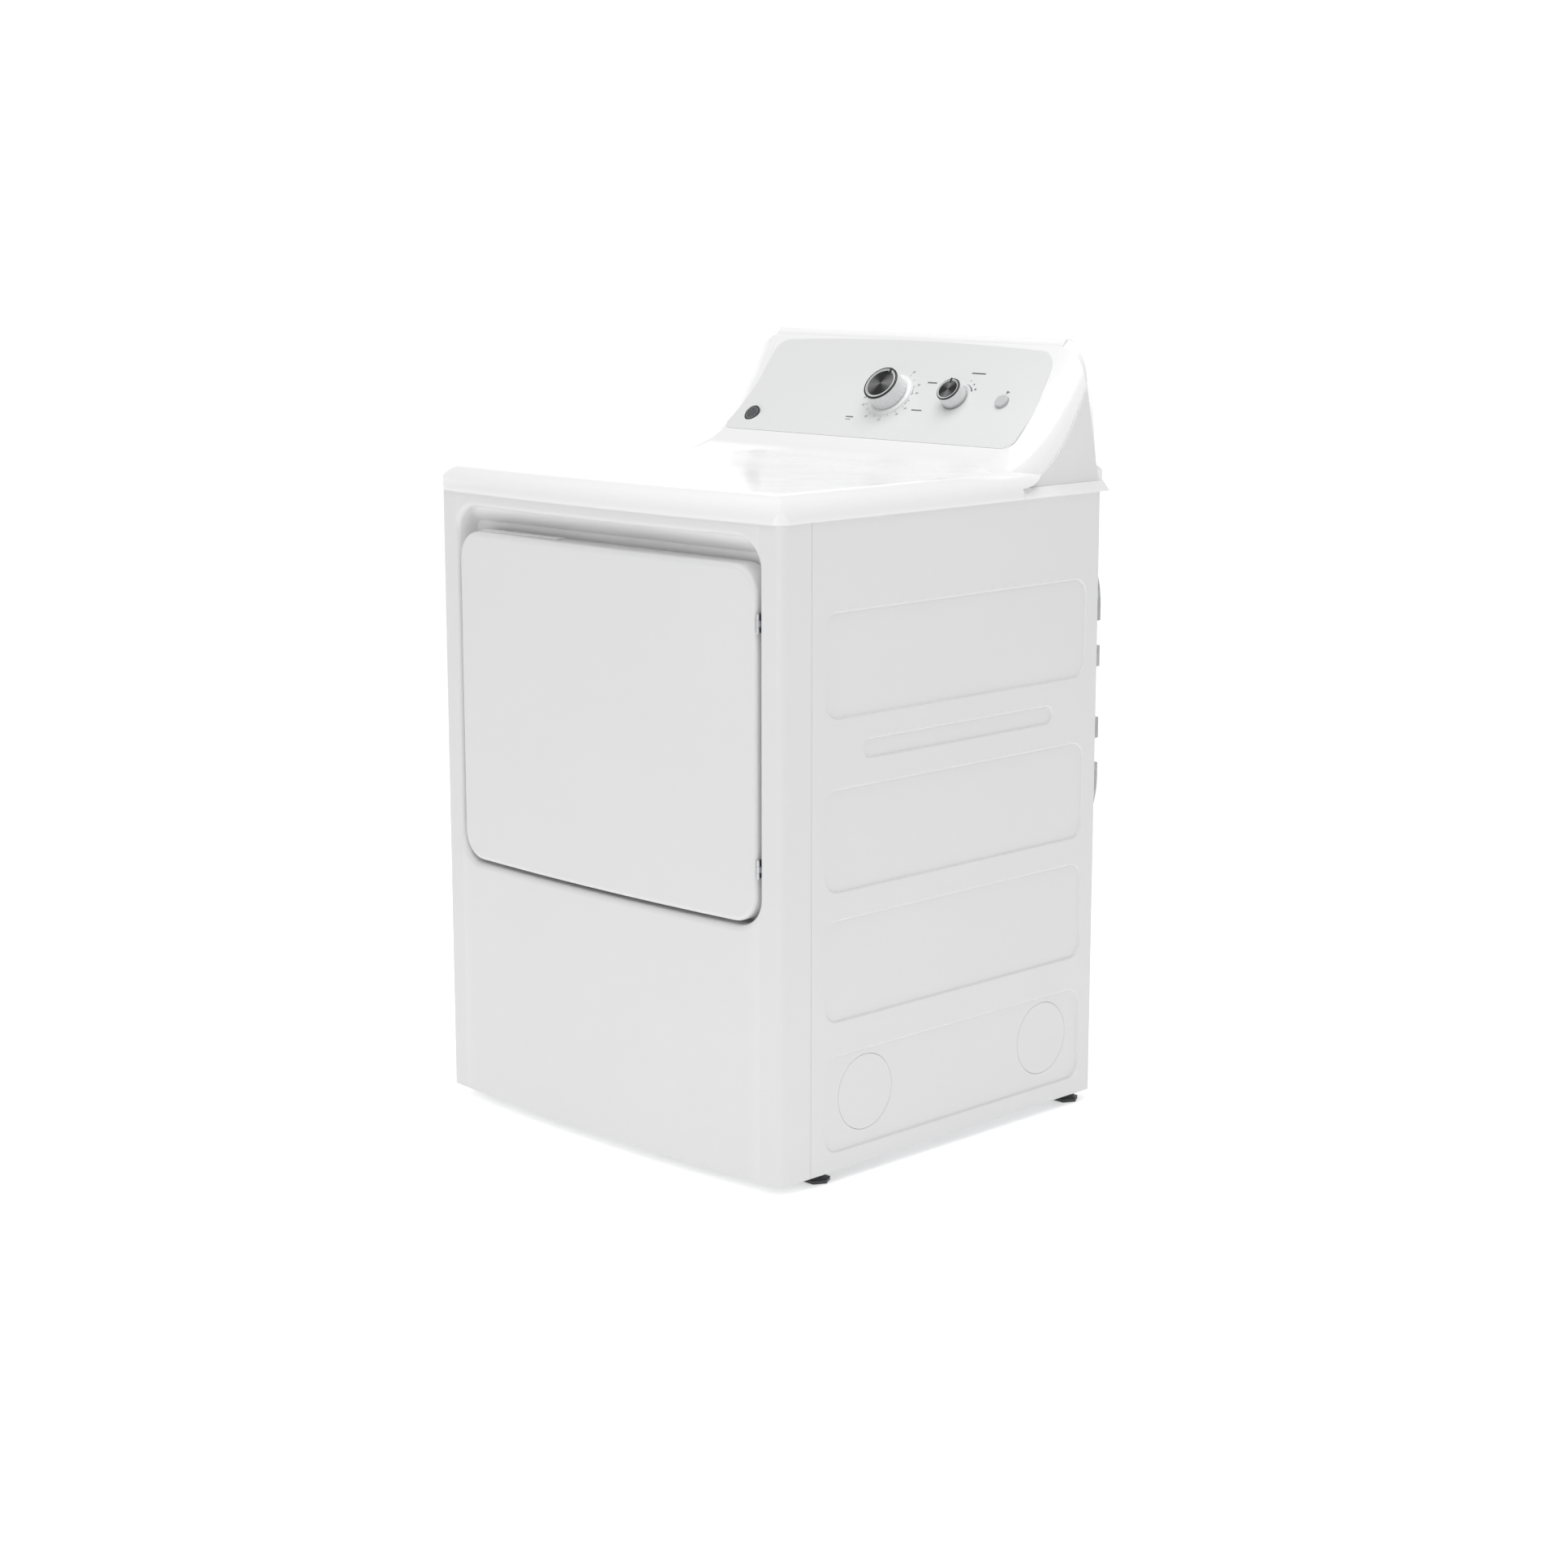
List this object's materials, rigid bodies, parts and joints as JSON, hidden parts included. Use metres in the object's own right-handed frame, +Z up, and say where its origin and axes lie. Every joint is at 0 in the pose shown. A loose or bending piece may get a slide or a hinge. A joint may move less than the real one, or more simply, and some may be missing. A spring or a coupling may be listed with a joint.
{
  "type": "clothes dryer",
  "caption": "Front-loading clothes dryer with recessed side-swing door, rounded top cover and backguard with a timer knob, a temperature knob and a start button.",
  "frame": {"origin": "middle of the bounding box at floor level", "axes": "+Z up, -Y towards the door and the controls, +X to the right as seen from the front"},
  "size_m": [0.687, 0.6753, 1.0996],
  "materials": {
    "enamel": "satin enamel",
    "cover_gloss": "gloss white",
    "end_cap": "satin light grey",
    "galvanised": "zinc coated",
    "fascia": "light grey satin",
    "badge": "dark gloss",
    "knob_barrel": "pearl white",
    "knob_face": "spun dark metal",
    "steel": "zinc plated",
    "switch_case": "moulded",
    "terminal_lid": "zinc coated",
    "drum_coat": "powder coat",
    "baffle_plastic": "moulded",
    "felt": "pressed felt",
    "filter_screen": "fine woven screen",
    "seal_rubber": "grey",
    "belt_rubber": "ribbed",
    "grey_plastic": "moulded",
    "motor": "painted cast case",
    "bearing": "sintered bronze",
    "heater": "coil on ceramic",
    "pulley": "turned",
    "leg_plastic": "moulded"
  },
  "bodies": {
    "cabinet": {"badge_disc": "badge", "base_pan": "galvanised", "blower_housing": "grey_plastic", "console_end_caps": "end_cap", "console_rear_cover": "galvanised", "control_fascia": "fascia", "door_catch": "switch_case", "drive_belt": "belt_rubber", "drum_glides": "baffle_plastic", "exhaust_duct": "galvanised", "front_bulkhead": "galvanised", "front_felt_seal": "felt", "front_panel": "enamel", "heater_cover": "galvanised", "heater_element": "heater", "hinge_bases": "steel", "motor_bracket": "galvanised", "motor_case": "motor", "rear_panel": "galvanised", "rear_screws": "steel", "shaft_bearing": "bearing", "side_panel_left": "enamel", "side_panel_right": "enamel", "start_switch": "switch_case", "temperature_switch": "switch_case", "terminal_block": "switch_case", "terminal_cover": "terminal_lid", "timer_bezel": "cover_gloss", "timer_body": "switch_case", "top_cover": "cover_gloss", "trap_duct": "grey_plastic", "vent_knockouts": "enamel"},
    "door": {"door_outer_panel": "enamel", "door_inner_panel": "enamel", "door_seal": "seal_rubber", "door_strike": "steel", "hinge_leaves": "steel"},
    "drum": {"drum_shell": "drum_coat", "drum_back": "drum_coat", "drum_baffles": "baffle_plastic", "drum_shaft": "steel", "rear_felt_seal": "felt"},
    "motor_rotor": {"motor_shaft": "steel", "motor_pulley": "pulley", "blower_wheel": "grey_plastic"},
    "idler_arm": {"idler_arm": "steel"},
    "idler_pulley": {"idler_pulley": "grey_plastic"},
    "timer_knob": {"timer_knob": "knob_barrel", "timer_knob_face": "knob_face", "timer_knob_shaft": "steel"},
    "temperature_knob": {"temperature_knob": "knob_barrel", "temperature_knob_face": "knob_face", "temperature_knob_shaft": "steel"},
    "start_button": {"start_button": "knob_barrel"},
    "lint_filter": {"lint_filter_frame": "baffle_plastic", "lint_filter_mesh": "filter_screen"},
    "leg_front_left": {"leg_front_left": "leg_plastic"},
    "leg_front_right": {"leg_front_right": "leg_plastic"},
    "leg_rear_left": {"leg_rear_left": "leg_plastic"},
    "leg_rear_right": {"leg_rear_right": "leg_plastic"}
  },
  "joints": [
    {"name": "door_hinge", "type": "hinge", "parent": "cabinet", "child": "door", "pos_m": [0.301, -0.3212, 0.5997], "axis": [0, 0, 1], "range_deg": [0, 150]},
    {"name": "drum_spin", "type": "hinge", "parent": "cabinet", "child": "drum", "pos_m": [0, 0, 0.5997], "axis": [0, 1, 0], "continuous": true},
    {"name": "motor_spin", "type": "hinge", "parent": "cabinet", "child": "motor_rotor", "pos_m": [-0.2, 0, 0.15], "axis": [0, 1, 0], "continuous": true},
    {"name": "idler_arm_swing", "type": "hinge", "parent": "cabinet", "child": "idler_arm", "pos_m": [-0.12, 0.0273, 0.07], "axis": [0, 1, 0], "range_deg": [-8, 0], "stiffness_Nm_per_rad": 1, "springref_deg": 28.65},
    {"name": "idler_spin", "type": "hinge", "parent": "idler_arm", "child": "idler_pulley", "pos_m": [-0.118, 0.0273, 0.196], "axis": [0, 1, 0], "continuous": true},
    {"name": "timer_knob_turn", "type": "hinge", "parent": "cabinet", "child": "timer_knob", "pos_m": [0.003, 0.23599, 1.01803], "axis": [0, -0.762, 0.6476], "continuous": true},
    {"name": "temperature_knob_turn", "type": "hinge", "parent": "cabinet", "child": "temperature_knob", "pos_m": [0.128, 0.23761, 1.01994], "axis": [0, -0.762, 0.6476], "range_deg": [-60, 60]},
    {"name": "start_button_press", "type": "slide", "parent": "cabinet", "child": "start_button", "axis": [0, 0.762, -0.6476], "range_m": [0, 0.003], "stiffness_N_per_m": 800},
    {"name": "lint_filter_slide", "type": "slide", "parent": "cabinet", "child": "lint_filter", "axis": [0, 0, 1], "range_m": [0, 0.19]},
    {"name": "leg_front_left_adjust", "type": "slide", "parent": "cabinet", "child": "leg_front_left", "axis": [0, 0, 1], "range_m": [-0.02, 0]},
    {"name": "leg_front_right_adjust", "type": "slide", "parent": "cabinet", "child": "leg_front_right", "axis": [0, 0, 1], "range_m": [-0.02, 0]},
    {"name": "leg_rear_left_adjust", "type": "slide", "parent": "cabinet", "child": "leg_rear_left", "axis": [0, 0, 1], "range_m": [-0.02, 0]},
    {"name": "leg_rear_right_adjust", "type": "slide", "parent": "cabinet", "child": "leg_rear_right", "axis": [0, 0, 1], "range_m": [-0.02, 0]}
  ],
  "couplings": [
    {"joint": "motor_spin", "follows": "drum_spin", "ratio": 27.636},
    {"joint": "idler_spin", "follows": "drum_spin", "ratio": 12.667}
  ]
}
